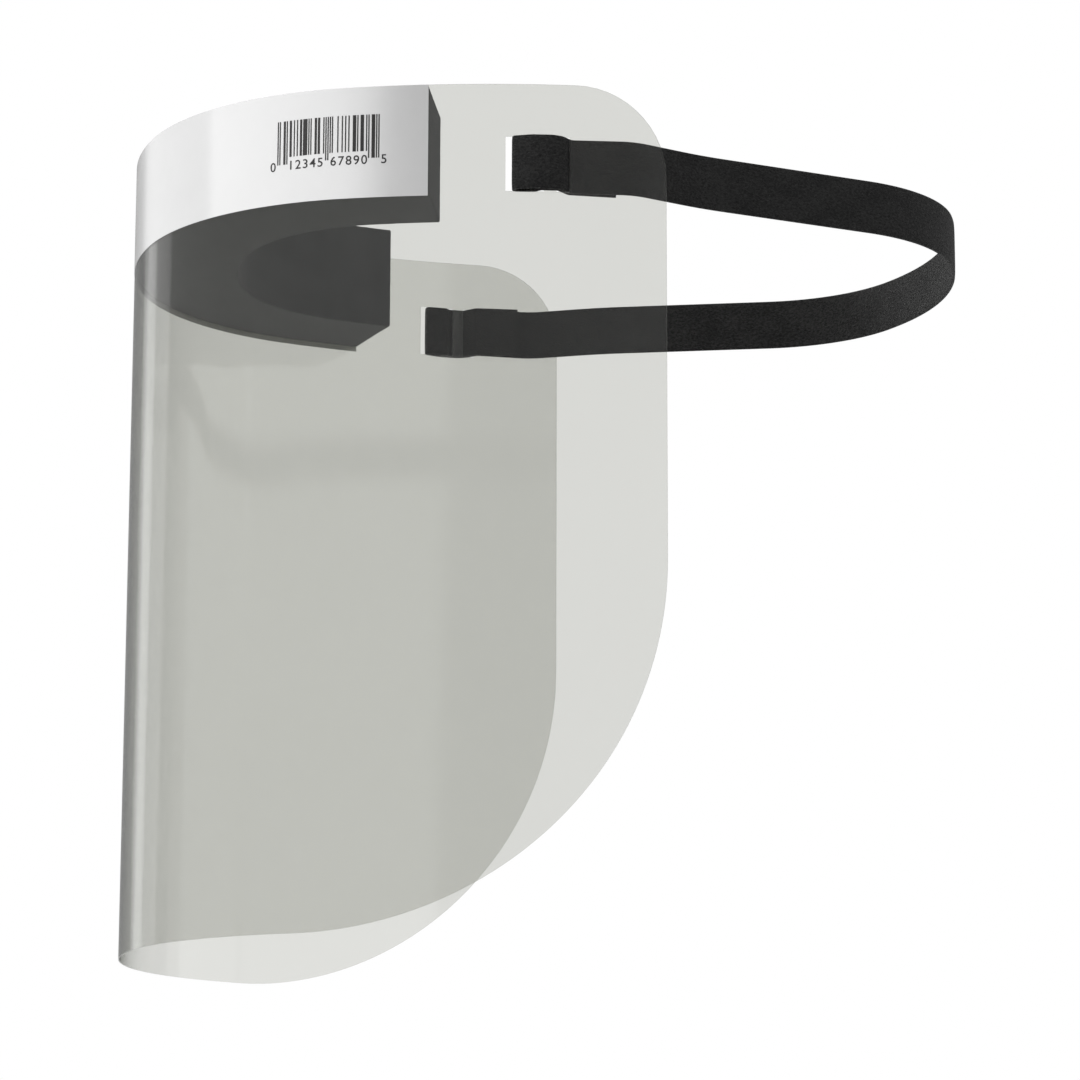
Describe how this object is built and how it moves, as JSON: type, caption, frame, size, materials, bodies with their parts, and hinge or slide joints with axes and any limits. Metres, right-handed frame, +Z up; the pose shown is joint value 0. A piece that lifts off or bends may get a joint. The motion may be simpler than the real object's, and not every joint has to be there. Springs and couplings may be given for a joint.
{
  "type": "face shield",
  "caption": "Disposable full-face shield: a clear bowed sheet with a white brow band, a foam forehead pad and an elastic head strap woven through slots.",
  "frame": {"origin": "middle of the foam pad's inner face, where it rests on the wearer's forehead, at half the pad's height and on the shield's centre line", "axes": "+Z up along the sheet's straight generators, +Y from the visor towards the wearer's head and the back strap, so the shield faces -Y, +X to the wearer's left"},
  "size_m": [0.1906, 0.2402, 0.23],
  "materials": {
    "clear_sheet": "gloss",
    "white_film": "satin",
    "adhesive": "matte",
    "foam": "matte",
    "elastic": "matte"
  },
  "bodies": {
    "visor": {"visor_sheet": "clear_sheet", "brow_band": "white_film", "foam_tape": "adhesive", "foam_pad": "foam", "strap_end_left": "elastic", "strap_end_right": "elastic"},
    "strap_loop": {"strap_side_left": "elastic", "strap_side_right": "elastic"},
    "strap_rear": {"strap_back": "elastic"}
  },
  "joints": [
    {"name": "strap_tilt", "type": "hinge", "parent": "visor", "child": "strap_loop", "pos_m": [0, 0.1033, -0.0075], "axis": [1, 0, 0], "range_deg": [-30, 30]},
    {"name": "strap_stretch", "type": "slide", "parent": "strap_loop", "child": "strap_rear", "axis": [0, 1, 0], "range_m": [0, 0.05], "stiffness_N_per_m": 80}
  ]
}
